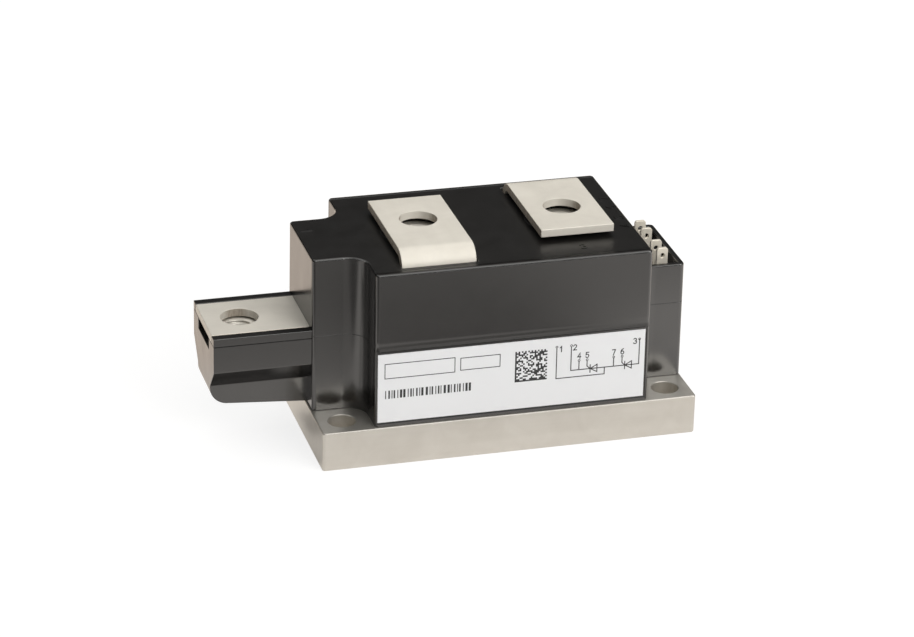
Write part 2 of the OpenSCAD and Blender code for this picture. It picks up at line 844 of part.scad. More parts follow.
module gate_spring(i) {
  room = cap_bore_top_z - pin_top_z - gate_spring_wire - 2 * close;
  steps = 10 * gate_spring_turns;
  coil_r = (pin_d - gate_spring_wire) / 2;
  route = [
    for (k = [0 : steps])
      let (turn = 360 * gate_spring_turns * k / steps)
        [
          stack_x[i] + coil_r * cos(turn),
          coil_r * sin(turn),
          pin_top_z + close + gate_spring_wire / 2 + room * k / steps
        ]
  ];
  color(steel) tube(route, gate_spring_wire, 6);
}

// Cap with a blind bore for pin and spring and a slot for the gate lead, which comes from +X
module centring_cap(i) {
  color(ceramic) translate([stack_x[i], 0, 0]) difference() {
    translate([0, 0, cap_z]) cylinder(d = cap_d, h = cap_h);
    translate([0, 0, cap_z - over]) cylinder(d = cap_bore_d, h = cap_bore_top_z - cap_z + over);
    translate([0, -lead_slot_w / 2, cap_z - over]) cube([cap_d, lead_slot_w, over + lead_d + 2 * slip]);
  }
}

// Plate that spreads the load, with a pin that guides springs and bridge
module pressure_plate(i) {
  color(steel) translate([stack_x[i], 0, pressure_z]) {
    cylinder(d = pellet_d, h = pressure_t);
    cylinder(d = guide_d, h = pressure_t + spring_pair_h + clamp_t / 2);
  }
}

// Two cones, wide ends together
module disc_springs(i) {
  inner = guide_d / 2 + slip;
  outer = pellet_d / 2;
  rise = spring_t + spring_cone;
  color(steel) translate([stack_x[i], 0, spring_z]) {
    rotate_extrude() polygon([[inner, 0], [outer, spring_cone], [outer, rise], [inner, spring_t]]);
    translate([0, 0, rise])
      rotate_extrude() polygon([[inner, spring_cone], [outer, 0], [outer, spring_t], [inner, rise]]);
  }
}

module clamp_bridge(i) {
  arm_r = clamp_arm_w / 2;
  reach = clamp_end - arm_r;
  color(steel) translate([stack_x[i], 0, clamp_z]) difference() {
    linear_extrude(clamp_t) {
      circle(d = pellet_d);
      translate([-arm_r, -reach]) square([clamp_arm_w, 2 * reach]);
      for (side = [-1, 1]) {
        translate([0, side * reach]) circle(arm_r);
      }
    }
    translate([0, 0, -over]) cylinder(d = guide_d + 2 * slip, h = clamp_t + 2 * over);
    for (side = [-1, 1]) {
      translate([0, side * clamp_y, -over]) cylinder(d = sleeve_id, h = clamp_t + 2 * over);
    }
  }
}

// Cap screws with a six-sided socket
module clamp_screws() {
  socket_d = clamp_screw_d * 0.75 / cos(30);
  foot_z = base_z - clamp_thread_h;
  color("#6f6f6f") at_clamp_screws() difference() {
    union() {
      translate([0, 0, foot_z]) cylinder(d = clamp_screw_d, h = clamp_top_z - foot_z + clamp_head_h / 2);
      translate([0, 0, clamp_top_z]) cylinder(d = clamp_head_d, h = clamp_head_h);
    }
    translate([0, 0, clamp_top_z + clamp_head_h / 2]) cylinder(d = socket_d, h = clamp_head_h, $fn = 6);
  }
}

module screw_sleeves() {
  color(ceramic) at_clamp_screws() translate([0, 0, base_z]) difference() {
    cylinder(d = sleeve_od, h = clamp_z - base_z - slip);
    translate([0, 0, -over]) cylinder(d = sleeve_id, h = clamp_z - base_z + over);
  }
}

base_plate();
housing_frame();
housing_cover();
label();
midpoint_bar();
cathode_bar();
anode_bar();
low_terminal_nut();
cathode_terminal_nut();
anode_terminal_nut();
tab(0);  // gate_tab_4
tab(1);  // cathode_tab_5
tab(2);  // cathode_tab_6
tab(3);  // gate_tab_7
gate_lead_4();
cathode_lead_5();
cathode_lead_6();
gate_lead_7();
ceramic_insulator(0);  // ceramic_insulator_a
ceramic_insulator(1);  // ceramic_insulator_b
anode_disc(0);  // anode_disc_a
anode_disc(1);  // anode_disc_b
silicon_pellet(0);  // silicon_pellet_a
silicon_pellet(1);  // silicon_pellet_b
cathode_disc(0);  // cathode_disc_a
cathode_disc(1);  // cathode_disc_b
gate_pin(0);  // gate_pin_a
gate_pin(1);  // gate_pin_b
gate_spring(0);  // gate_spring_a
gate_spring(1);  // gate_spring_b
centring_cap(0);  // centring_cap_a
centring_cap(1);  // centring_cap_b
pressure_plate(0);  // pressure_plate_a
pressure_plate(1);  // pressure_plate_b
disc_springs(0);  // disc_springs_a
disc_springs(1);  // disc_springs_b
clamp_bridge(0);  // clamp_bridge_a
clamp_bridge(1);  // clamp_bridge_b
clamp_screws();
screw_sleeves();
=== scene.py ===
"""Looks of the thyristor module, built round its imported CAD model. Lengths are in metres."""

import json
import math
from itertools import groupby

import bmesh
import bpy
from mathutils import Matrix, Vector


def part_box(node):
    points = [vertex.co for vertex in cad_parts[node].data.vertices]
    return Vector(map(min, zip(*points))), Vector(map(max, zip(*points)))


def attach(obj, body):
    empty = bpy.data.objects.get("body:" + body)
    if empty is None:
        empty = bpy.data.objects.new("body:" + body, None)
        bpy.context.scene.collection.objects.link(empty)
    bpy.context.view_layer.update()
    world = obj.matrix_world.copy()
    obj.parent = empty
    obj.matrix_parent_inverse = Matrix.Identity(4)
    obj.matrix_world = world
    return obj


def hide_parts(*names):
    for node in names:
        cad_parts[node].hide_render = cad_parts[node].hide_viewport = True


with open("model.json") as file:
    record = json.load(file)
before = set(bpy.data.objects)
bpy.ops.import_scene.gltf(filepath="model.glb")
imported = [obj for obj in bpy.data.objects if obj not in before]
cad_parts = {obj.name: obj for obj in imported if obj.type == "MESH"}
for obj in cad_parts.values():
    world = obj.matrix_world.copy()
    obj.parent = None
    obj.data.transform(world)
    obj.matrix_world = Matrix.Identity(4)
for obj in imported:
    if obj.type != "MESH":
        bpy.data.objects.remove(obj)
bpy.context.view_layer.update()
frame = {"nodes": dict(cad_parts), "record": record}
nodes = frame["nodes"]

MM = 0.001
X, Y, Z = range(3)
SCENE = bpy.context.scene
SCENE.view_settings.view_transform = "Standard"

# Sizes that the looks share with the CAD model
DRAFT = math.radians(0.9)
COVER_TOP = 48.4 * MM
GATE_TOP = 38.9 * MM
SEAM = 29.0 * MM
TONGUE_SEAM = 28.3 * MM
TONGUE_SIDE = 11.5 * MM
WALL_FOOT = 24.4 * MM
BODY_MIDDLE = 0.65 * MM
BASE_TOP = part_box("base_plate")[1].z
LABEL_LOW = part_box("label")[0]
MOUNTS = {entry["name"]: entry for entry in frame["record"]["mounts"]}
BOLTS = MOUNTS["base_bolts"]["dims"]


# Node trees

class Tree:
    """Node tree, with the calls that build it."""

    def __init__(self, tree):
        self.tree = tree

    def node(self, kind, **values):
        made = self.tree.nodes.new(kind)
        for key, value in values.items():
            setattr(made, key, value)
        return made

    def link(self, source, target):
        self.tree.links.new(source, target)

    def feed(self, socket, value):
        """Gives a socket a number, a colour or a link."""
        if isinstance(value, (int, float)):
            socket.default_value = value
        elif isinstance(value, tuple):
            socket.default_value = (*value, 1.0)
        else:
            self.link(value, socket)

    def maths(self, operation, a, b=0.0):
        made = self.node("ShaderNodeMath", operation=operation)
        self.feed(made.inputs[0], a)
        self.feed(made.inputs[1], b)
        return made.outputs["Value"]

    def plus(self, a, b):
        return self.maths("ADD", a, b)

    def times(self, a, b):
        return self.maths("MULTIPLY", a, b)

    def away(self, value, level):
        """Distance of a value from a level."""
        return self.maths("ABSOLUTE", self.maths("SUBTRACT", value, level))

    def axes(self, vector):
        made = self.node("ShaderNodeSeparateXYZ")
        self.link(vector, made.inputs["Vector"])
        return made.outputs


class Graph(Tree):
    """Node tree of one material, with the few node kinds used here."""

    def __init__(self, name):
        self.material = bpy.data.materials.new(name)
        self.material.use_nodes = True
        super().__init__(self.material.node_tree)
        self.shader = self.tree.nodes["Principled BSDF"]
        self.place = self.node("ShaderNodeTexCoord").outputs["Object"]

    def stretch(self, scale):
        made = self.node("ShaderNodeMapping")
        made.inputs["Scale"].default_value = scale
        self.link(self.place, made.inputs["Vector"])
        return made.outputs["Vector"]

    def noise(self, scale, detail, rough=0.5, vector=None, warp=0.0):
        """Noise with its scale in grains a metre."""
        made = self.node("ShaderNodeTexNoise")
        made.inputs["Scale"].default_value = scale
        made.inputs["Detail"].default_value = detail
        made.inputs["Roughness"].default_value = rough
        made.inputs["Distortion"].default_value = warp
        self.link(vector or self.place, made.inputs["Vector"])
        return made.outputs["Fac"]

    def brushed(self, axis, along, across, detail, rough):
        """Noise drawn out along one axis."""
        scale = tuple(along if k == axis else across for k in (X, Y, Z))
        return self.noise(1.0, detail, rough, vector=self.stretch(scale))

    def cells(self, scale):
        made = self.node("ShaderNodeTexVoronoi")
        made.inputs["Scale"].default_value = scale
        self.link(self.place, made.inputs["Vector"])
        return made.outputs["Distance"]

    def range(self, value, low, high, to_low, to_high):
        made = self.node("ShaderNodeMapRange")
        self.link(value, made.inputs["Value"])
        for key, number in (("From Min", low), ("From Max", high), ("To Min", to_low), ("To Max", to_high)):
            made.inputs[key].default_value = number
        return made.outputs["Result"]

    def fade(self, value, low, high, to_low, to_high):
        """Like range, with a soft start and end."""
        made = self.range(value, low, high, to_low, to_high)
        made.node.interpolation_type = "SMOOTHSTEP"
        return made

    def mix(self, factor, a, b):
        made = self.node("ShaderNodeMix", data_type="RGBA")
        self.link(factor, made.inputs["Factor"])
        self.feed(made.inputs["A"], a)
        self.feed(made.inputs["B"], b)
        return made.outputs["Result"]

    def facing(self):
        """Parts of the surface normal along X, Y and Z."""
        return self.axes(self.node("ShaderNodeNewGeometry").outputs["Normal"])

    def bump(self, height, strength, distance, normal=None):
        made = self.node("ShaderNodeBump")
        made.inputs["Strength"].default_value = strength
        made.inputs["Distance"].default_value = distance
        self.link(height, made.inputs["Height"])
        if normal:
            self.link(normal, made.inputs["Normal"])
        return made.outputs["Normal"]

    def done(self, colour, roughness, normal, **fixed):
        self.link(colour, self.shader.inputs["Base Color"])
        self.link(roughness, self.shader.inputs["Roughness"])
        self.link(normal, self.shader.inputs["Normal"])
        for key, value in fixed.items():
            self.shader.inputs[key].default_value = value
        return self.material


# Materials

# Values of a noise that are spread over a range of tones or roughness
NOISE_SPAN = (0.3, 0.7)

# Heights of the bumps
WAVE_HEIGHT = 0.12 * MM
GRAIN_HEIGHT = 0.012 * MM
BRUSH_HEIGHT = 0.02 * MM
PIT_HEIGHT = 0.01 * MM
FINE_HEIGHT = 0.02 * MM

# Sink mark above the joint, and the distances from the middle at which the long walls begin to show it
SINK_RISE = 1.1 * MM
SINK_REACH = 1.4 * MM
SINK_DEPTH = 0.18 * MM
SINK_WALLS = (22.2 * MM, 22.8 * MM)

# Pressed ring, from the rim of a mounting hole
RING_EDGES = (0.6 * MM, 0.2 * MM)

DUST_TONE = (0.16, 0.15, 0.14)
RING_TONE = (0.80, 0.77, 0.71)
SHEARED_TONE = (0.40, 0.34, 0.27)


def moulded_plastic(name, dark, light, rough):
    """Black moulding: a little wavy, with fine grain and a few dust specks.

    Its top and underside are duller, and the long walls have a sink mark above the joint.
    """
    g = Graph(name)
    cloud = g.noise(70, 3)
    grain = g.noise(2600, 2)
    wave = g.noise(95, 1.5, vector=g.stretch((1.0, 1.0, 0.45)))
    dust = g.range(g.cells(420), 0.055, 0.02, 0.0, 1.0)
    dust = g.times(dust, g.range(g.noise(160, 2), 0.55, 0.75, 0.0, 0.2))
    colour = g.mix(dust, g.mix(cloud, dark, light), DUST_TONE)
    slope = g.facing()["Z"]
    upward = g.range(slope, 0.8, 1.0, 0.0, 1.0)
    downward = g.range(slope, -0.3, -0.6, 0.0, 1.0)
    roughness = g.range(g.noise(210, 4), *NOISE_SPAN, *rough)
    roughness = g.plus(roughness, g.times(upward, 0.1))
    gloss = g.range(upward, 0.0, 1.0, 0.5, 0.12)
    gloss = g.maths("SUBTRACT", gloss, g.times(downward, 0.4))
    g.link(gloss, g.shader.inputs["Specular IOR Level"])
    normal = g.bump(wave, 0.2, WAVE_HEIGHT)
    normal = g.bump(grain, 0.12, GRAIN_HEIGHT, normal)
    _, y, z = g.axes(g.place)
    sink = g.fade(g.away(z, SEAM + SINK_RISE), 0.0, SINK_REACH, 0.0, 1.0)
    sink = g.times(sink, g.range(g.maths("ABSOLUTE", y), *SINK_WALLS, 0.0, 1.0))
    normal = g.bump(sink, 1.0, SINK_DEPTH, normal)
    return g.done(colour, roughness, normal, IOR=2.0)


def nickel_parts(g, dark, light, along, rough):
    """Colour, roughness and normal of satin nickel, finely brushed along one axis and faintly stained."""
    lines = g.brushed(along, along=60, across=5200, detail=3, rough=0.6)
    wide = g.brushed(along, along=18, across=420, detail=2, rough=0.5)
    stain = g.noise(140, 4, 0.55, warp=0.6)
    pits = g.noise(3800, 1)
    tone = g.plus(g.times(stain, 0.7), g.times(wide, 0.3))
    colour = g.mix(g.range(tone, *NOISE_SPAN, 0.0, 1.0), dark, light)
    mixed = g.plus(g.times(lines, 0.6), g.times(stain, 0.4))
    roughness = g.range(mixed, *NOISE_SPAN, *rough)
    normal = g.bump(lines, 0.22, BRUSH_HEIGHT)
    return colour, roughness, g.bump(pits, 0.08, PIT_HEIGHT, normal)


def base_nickel(name, dark, light, rough):
    """Base plate: satin nickel with a pressed ring round each mounting hole."""
    g = Graph(name)
    colour, roughness, normal = nickel_parts(g, dark, light, X, rough)
    x, y, _ = g.axes(g.place)
    off_x = g.maths("SUBTRACT", g.maths("ABSOLUTE", x), BOLTS["spacing_x_mm"] / 2 * MM)
    off_y = g.maths("SUBTRACT", g.maths("ABSOLUTE", y), BOLTS["spacing_y_mm"] / 2 * MM)
    away = g.maths("SQRT", g.plus(g.maths("POWER", off_x, 2.0), g.maths("POWER", off_y, 2.0)))
    outer, inner = (BOLTS["hole_r_mm"] * MM + edge for edge in RING_EDGES)
    ring = g.range(away, outer, inner, 0.0, 0.3)
    ring = g.times(ring, g.range(g.noise(900, 2), 0.3, 0.6, 0.4, 1.0))
    return g.done(g.mix(ring, colour, RING_TONE), roughness, normal, Metallic=0.85)


def strip_nickel(name, dark, light, along, rough, metallic):
    """Terminal strip: satin nickel on its faces, duller and browner on the sheared edges."""
    g = Graph(name)
    colour, roughness, normal = nickel_parts(g, dark, light, along, rough)
    side = g.maths("ABSOLUTE", g.facing()[Y if along == X else X])
    torn = g.brushed(Z, along=500, across=2400, detail=3, rough=0.6)
    sheared = g.times(g.range(side, 0.75, 0.95, 0.0, 1.0), g.range(torn, 0.3, 0.6, 0.5, 0.95))
    return g.done(g.mix(sheared, colour, SHEARED_TONE), roughness, normal, Metallic=metallic)


def plain(name, dark, light, scale, rough, detail, bump, **fixed):
    """Faintly clouded surface with a fine grain."""
    g = Graph(name)
    fine = g.noise(scale * 4, detail)
    colour = g.mix(g.noise(scale * 0.3, 3), dark, light)
    return g.done(colour, g.range(fine, *NOISE_SPAN, *rough), g.bump(fine, bump, FINE_HEIGHT), **fixed)


def plain_metal(name, dark, light, scale, rough, metallic=1.0):
    return plain(name, dark, light, scale, rough, detail=3, bump=0.15, Metallic=metallic)


def plain_matter(name, dark, light, scale, rough=(0.4, 0.6), bump=0.2):
    return plain(name, dark, light, scale, rough, detail=4, bump=bump)


PLASTIC = moulded_plastic("housing_plastic", (0.0066, 0.0062, 0.0058), (0.0098, 0.0090, 0.0083), (0.19, 0.25))
BASE_NICKEL = base_nickel("base_nickel", (0.62, 0.592, 0.541), (0.70, 0.675, 0.623), (0.36, 0.46))
STRIP_X = strip_nickel("strip_nickel_x", (0.72, 0.685, 0.615), (0.80, 0.765, 0.69), X, (0.42, 0.52), 0.3)
STRIP_Y = strip_nickel("strip_nickel_y", (0.77, 0.73, 0.65), (0.86, 0.82, 0.735), Y, (0.5, 0.6), 0.2)
TIN = plain_metal("tab_tin", (0.83, 0.77, 0.66), (0.90, 0.85, 0.74), 500, (0.3, 0.45), 0.3)
NUT = plain_metal("nut_plated", (0.62, 0.59, 0.53), (0.73, 0.70, 0.64), 500, (0.3, 0.42), 0.6)
FILM = plain_matter("label_film", (0.81, 0.815, 0.83), (0.85, 0.855, 0.87), 260, (0.34, 0.46), 0.06)
INK = plain_matter("label_ink", (0.022, 0.022, 0.023), (0.042, 0.042, 0.044), 700, (0.45, 0.6), 0.1)
# Black of the bead that paints the shade in the joint between frame and cover
JOINT_SHADE = plain_matter("joint_shade_bead", (0.003, 0.003, 0.003), (0.006, 0.006, 0.006), 500, (0.75, 0.9), 0.3)
CERAMIC = plain_matter("insulator_ceramic", (0.78, 0.77, 0.73), (0.86, 0.85, 0.81), 900, (0.5, 0.7))

MATERIALS = {
    "base_plate": BASE_NICKEL,
    "housing_frame": PLASTIC,
    "housing_cover": PLASTIC,
    "label": FILM,
    "midpoint_bar": STRIP_X,
    "cathode_bar": STRIP_Y,
    "anode_bar": STRIP_Y,
}
BY_SLOT = {
    "nut_steel": NUT,
    "tab_tin": TIN,
    "lead_white": plain_matter("lead_white", (0.72, 0.71, 0.68), (0.82, 0.81, 0.78), 500),
    "lead_red": plain_matter("lead_red", (0.42, 0.03, 0.025), (0.55, 0.05, 0.04), 500),
    "insulator_ceramic": CERAMIC,
    "molybdenum": plain_metal("molybdenum", (0.40, 0.40, 0.41), (0.50, 0.50, 0.51), 800, (0.3, 0.5)),
    "silicon": plain_metal("silicon", (0.15, 0.16, 0.18), (0.20, 0.21, 0.24), 300, (0.08, 0.16)),
    "contact_copper": plain_metal("contact_copper", (0.68, 0.47, 0.24), (0.78, 0.57, 0.32), 600, (0.2, 0.35)),
    "spring_steel": plain_metal("spring_steel", (0.36, 0.36, 0.37), (0.46, 0.46, 0.47), 600, (0.25, 0.45)),
    "cap_plastic": plain_matter("cap_plastic", (0.74, 0.72, 0.65), (0.82, 0.80, 0.74), 700),
    "clamp_steel": plain_metal("clamp_steel", (0.46, 0.46, 0.44), (0.56, 0.56, 0.54), 500, (0.3, 0.5)),
    "screw_steel": plain_metal("screw_steel", (0.10, 0.10, 0.10), (0.16, 0.16, 0.16), 700, (0.35, 0.55)),
    "sleeve_plastic": plain_matter("sleeve_plastic", (0.70, 0.65, 0.52), (0.78, 0.74, 0.62), 600),
}


def dress(thing, material):
    thing.data.materials.clear()
    thing.data.materials.append(material)


for entry in frame["record"]["subparts"]:
    dress(nodes[entry["node"]], MATERIALS.get(entry["node"]) or BY_SLOT[entry["material_slot"]])


# Soft edges on the CAD solids

JOIN_REACH = 0.002 * MM
FLAT_ANGLE = math.radians(0.2)
SHARP_ANGLE = math.radians(32)

# The cover's rim lies at least this far out from the middle of the body
RIM_SIDE = 21.5 * MM
RIM_END = 29 * MM

# An edge lies on a level if it is this near to it
LEVEL_REACH = 0.1 * MM

# Shares of the rounding: of a plain edge, and what is added on the rim, the gate block's top and the joint
PLAIN_SHARE = 0.34
RIM_SHARE, GATE_SHARE, SEAM_SHARE = 0.66, 0.3, -0.12

# Boxes, in millimetres, whose edges stay sharp: hidden ones, and steps smaller than the rounding
SHARP_BOXES = (
    ((-31.0, -21.8, 0.0), (31.9, 21.8, 47.8)),
    ((-43.5, -9.4, 0.0), (-30.0, 9.4, 47.8)),
    ((31.0, -10.7, 0.0), (44.0, 10.7, 34.2)),
    ((-45.8, -11.9, 0.0), (-45.4, 11.9, 31.0)),
    ((33.4, -18.0, 34.0), (34.2, 18.0, 48.2)),
    ((-33.5, -25.0, 10.2), (33.5, -23.4, 28.95)),
)


def housing_edges():
    """Geometry nodes that give each sharp edge of the mouldings its share of the rounding."""
    group = bpy.data.node_groups.new("housing_edges", "GeometryNodeTree")
    for way in ("INPUT", "OUTPUT"):
        group.interface.new_socket("Geometry", in_out=way, socket_type="NodeSocketGeometry")
    g = Tree(group)

    x, y, z = g.axes(g.node("GeometryNodeInputPosition").outputs["Position"])
    angle = g.node("GeometryNodeInputMeshEdgeAngle").outputs["Unsigned Angle"]
    sharp = g.maths("GREATER_THAN", angle, SHARP_ANGLE)
    near_side = g.maths("GREATER_THAN", g.maths("ABSOLUTE", y), RIM_SIDE)
    near_end = g.maths("GREATER_THAN", g.away(x, BODY_MIDDLE), RIM_END)
    on_top = g.maths("GREATER_THAN", z, COVER_TOP - LEVEL_REACH)
    rim = g.times(on_top, g.maths("MAXIMUM", near_side, near_end))
    on_gate = g.maths("LESS_THAN", g.away(z, GATE_TOP), LEVEL_REACH)
    on_seam = g.maths("LESS_THAN", g.away(z, SEAM), LEVEL_REACH)
    width = 0.0
    for zone, more in ((rim, RIM_SHARE), (on_gate, GATE_SHARE), (on_seam, SEAM_SHARE)):
        width = g.plus(width, g.times(zone, more))
    width = g.plus(width, PLAIN_SHARE)

    spared = 0.0
    for box in SHARP_BOXES:
        in_box = sharp
        for value, low, high in zip((x, y, z), *box):
            in_box = g.times(in_box, g.maths("GREATER_THAN", value, low * MM))
            in_box = g.times(in_box, g.maths("LESS_THAN", value, high * MM))
        spared = g.maths("MAXIMUM", spared, in_box)
    share = g.times(g.maths("SUBTRACT", sharp, spared), width)

    flow = g.node("NodeGroupInput").outputs["Geometry"]
    for kind, name, value in (("FLOAT", "bevel_weight_edge", share), ("BOOLEAN", "sharp_edge", spared)):
        store = g.node("GeometryNodeStoreNamedAttribute", data_type=kind, domain="EDGE")
        store.inputs["Name"].default_value = name
        g.link(value, store.inputs["Value"])
        g.link(flow, store.inputs["Geometry"])
        flow = store.outputs["Geometry"]
    g.link(flow, g.node("NodeGroupOutput").inputs["Geometry"])
    return group


def soften(node, width, segments=2, shares=None):
    """Joins a solid's faces and rounds its sharp edges.

    Where shares are given, each edge is rounded by its share of the width.
    """
    thing = nodes[node]
    join = thing.modifiers.new("join", "WELD")
    join.merge_threshold = JOIN_REACH
    flat = thing.modifiers.new("flat", "DECIMATE")
    flat.decimate_type = "DISSOLVE"
    flat.angle_limit = FLAT_ANGLE
    if shares:
        split = thing.modifiers.new("split", "TRIANGULATE")
        split.min_vertices = 5
        thing.modifiers.new("shares", "NODES").node_group = shares
    edge = thing.modifiers.new("edge", "BEVEL")
    edge.width = width
    edge.segments = segments
    edge.limit_method = "WEIGHT" if shares else "ANGLE"
    edge.angle_limit = SHARP_ANGLE
    edge.use_clamp_overlap = False
    edge.loop_slide = False
    shade = thing.modifiers.new("shade", "WEIGHTED_NORMAL")
    shade.weight = 100
    shade.keep_sharp = True


soften("base_plate", width=0.3 * MM, segments=3)
for name in ("midpoint_bar", "cathode_bar", "anode_bar"):
    soften(name, width=0.18 * MM)
for name in ("gate_tab_4", "cathode_tab_5", "cathode_tab_6", "gate_tab_7"):
    soften(name, width=0.1 * MM)
HOUSING_EDGES = housing_edges()
for name in ("housing_frame", "housing_cover"):
    soften(name, width=0.5 * MM, segments=3, shares=HOUSING_EDGES)


# Pieces added to the CAD solids

def add_piece(name, bm, material, place=None, replaces=None):
    """Turns a bmesh into a piece that rides with the module."""
    if place:
        bm.transform(place)
    bmesh.ops.recalc_face_normals(bm, faces=bm.faces)
    mesh = bpy.data.meshes.new(name)
    bm.to_mesh(mesh)
    bm.free()
    piece = bpy.data.objects.new(name, mesh)
    SCENE.collection.objects.link(piece)
    dress(piece, material)
    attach(piece, "root")
    if replaces:
        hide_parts(replaces)


# Threaded nuts
THREAD_PITCH = 1.25 * MM
THREAD_CREST, THREAD_ROOT = 3.4 * MM, 4.0 * MM
FLANK_RATE, FLANK_START = 2.6, 0.3
COUNTERSINK, COUNTERSINK_RATE = 4.45 * MM, 1.5
NUT_FLAT = 6.5 * MM
NUT_CHAMFER, NUT_CHAMFER_ANGLE = 6.2 * MM, math.radians(30)
NUT_SIDES = 96
ROWS_A_PITCH = 8


def thread_radius(z, turn, low, high):
    """Radius of the bore at a height and a share of a turn, with a countersink at both ends."""
    phase = (z / THREAD_PITCH - turn) % 1.0
    depth = min(1.0, max(0.0, (0.5 - abs(phase - 0.5)) * FLANK_RATE - FLANK_START))
    bore = THREAD_CREST + (THREAD_ROOT - THREAD_CREST) * depth
    return max(bore, COUNTERSINK - COUNTERSINK_RATE * min(z - low, high - z))


def hex_radius(turn):
    sixth = (turn * 6 + 0.5) % 1.0 - 0.5
    return NUT_FLAT / math.cos(sixth * math.pi / 3)


def threaded_nut(node):
    """Closed ring of faces: up the threaded bore, and down the chamfered hexagon."""
    low_corner, high_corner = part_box(node)
    low, high = low_corner.z, high_corner.z
    middle = (low_corner + high_corner) / 2
    turns = [k / NUT_SIDES for k in range(NUT_SIDES)]
    count = math.ceil((high - low) / THREAD_PITCH * ROWS_A_PITCH)
    heights = [low + (high - low) * k / count for k in range(count + 1)]
    rings = [[(thread_radius(z, turn, low, high), z) for turn in turns] for z in heights]
    slope = math.tan(NUT_CHAMFER_ANGLE)
    drops = [(hex_radius(turn), (hex_radius(turn) - NUT_CHAMFER) * slope) for turn in turns]
    rings.append([(NUT_CHAMFER, high)] * NUT_SIDES)
    rings.append([(r, high - drop) for r, drop in drops])
    rings.append([(r, low + drop) for r, drop in drops])
    rings.append([(NUT_CHAMFER, low)] * NUT_SIDES)
    bm = bmesh.new()
    verts = [
        [
            bm.verts.new((
                middle.x + r * math.cos(turn * math.tau),
                middle.y + r * math.sin(turn * math.tau),
                z,
            ))
            for turn, (r, z) in zip(turns, ring)
        ]
        for ring in rings
    ]
    for a in range(len(rings)):
        b = (a + 1) % len(rings)
        for k in range(NUT_SIDES):
            n = (k + 1) % NUT_SIDES
            face = bm.faces.new((verts[a][k], verts[a][n], verts[b][n], verts[b][k]))
            face.smooth = b <= count and a < b
    add_piece(f"{node}_threaded", bm, NUT, replaces=node)


for name in ("low_terminal_nut", "cathode_terminal_nut", "anode_terminal_nut"):
    threaded_nut(name)


# Strokes and digits, drawn in a plane as flat bars

# Least share of a full mitre at a sharp bend
LEAST_MITRE = 0.4


def ribbon(bm, points, width, low, high):
    """Flat bar of even width along a path in the X-Y plane, between two heights."""
    points = [Vector(point) for point in points]
    half = width / 2
    sides = ([], [])
    for k, point in enumerate(points):
        into = (point - points[k - 1]).normalized() if k else (points[1] - point).normalized()
        out = (points[k + 1] - point).normalized() if k + 1 < len(points) else into
        mean = (into + out).normalized()
        across = Vector((-mean.y, mean.x))
        reach = half / max(LEAST_MITRE, across.dot(Vector((-into.y, into.x))))
        centre = point
        if k == 0:
            centre = point - out * half
        elif k + 1 == len(points):
            centre = point + into * half
        sides[0].append(centre + across * reach)
        sides[1].append(centre - across * reach)
    levels = [[[bm.verts.new((*p, z)) for p in side] for side in sides] for z in (low, high)]
    for k in range(len(points) - 1):
        for (left, right), turn in zip(levels, (1, -1)):
            bm.faces.new((left[k], left[k + 1], right[k + 1], right[k])[::turn])
        for s in (0, 1):
            under, over = levels[0][s], levels[1][s]
            bm.faces.new((under[k], under[k + 1], over[k + 1], over[k]))
    for k in (0, -1):
        bm.faces.new((levels[0][0][k], levels[0][1][k], levels[1][1][k], levels[1][0][k]))


def arc(x, y, wide, high, start, end, steps=9):
    """Points of an elliptic arc, with its angles in degrees."""
    turns = [math.radians(start + (end - start) * k / steps) for k in range(steps + 1)]
    return [(x + wide * math.cos(turn), y + high * math.sin(turn)) for turn in turns]


# Paths of the digits in a box 0.56 wide and 1 high, with its middle foot at the origin
DIGITS = {
    1: [(-0.2, 0.76), (0.04, 1.0), (0.04, 0.0)],
    2: arc(0.0, 0.72, 0.26, 0.28, 170, -38) + [(-0.27, 0.0), (0.28, 0.0)],
    3: arc(-0.02, 0.75, 0.26, 0.25, 150, -80) + arc(-0.02, 0.27, 0.29, 0.27, 80, -150),
    4: [(0.14, 0.0), (0.14, 1.0), (-0.28, 0.3), (0.28, 0.3)],
    5: [(0.24, 1.0), (-0.2, 1.0), (-0.24, 0.54)] + arc(-0.01, 0.32, 0.28, 0.32, 128, -150),
    6: arc(0.24, 0.4, 0.5, 0.6, 95, 175, 6) + arc(0.0, 0.3, 0.26, 0.3, 180, -170, 14),
    7: [(-0.27, 1.0), (0.27, 1.0), (-0.08, 0.0)],
}


def digit(bm, number, foot, size, width, low, high, turn=0):
    """One digit; quarter turns go against the clock."""
    cos, sin = (1, 0, -1, 0)[turn], (0, 1, 0, -1)[turn]
    placed = [
        (foot[0] + size * (x * cos - y * sin), foot[1] + size * (x * sin + y * cos))
        for x, y in DIGITS[number]
    ]
    ribbon(bm, placed, width, low, high)


# Raised terminal numbers on the cover, in millimetres: number, foot, height and quarter turns
RAISED = (
    (1, (-44.2, 5.4), 2.3, 3),
    (3, (18.4, -19.0), 2.3, 0),
    (4, (33.0, -8.4), 2.1, 1),
    (5, (33.0, -3.2), 2.1, 1),
    (6, (33.0, 3.2), 2.1, 1),
    (7, (33.0, 8.4), 2.1, 1),
)
RAISED_WIDTH = 0.34 * MM
RAISED_FOOT, RAISED_TOP = COVER_TOP - 0.05 * MM, COVER_TOP + 0.13 * MM
bm = bmesh.new()
for number, foot, size, turn in RAISED:
    foot = [v * MM for v in foot]
    digit(bm, number, foot, size * MM, RAISED_WIDTH, RAISED_FOOT, RAISED_TOP, turn)
add_piece("raised_terminal_numbers", bm, PLASTIC)
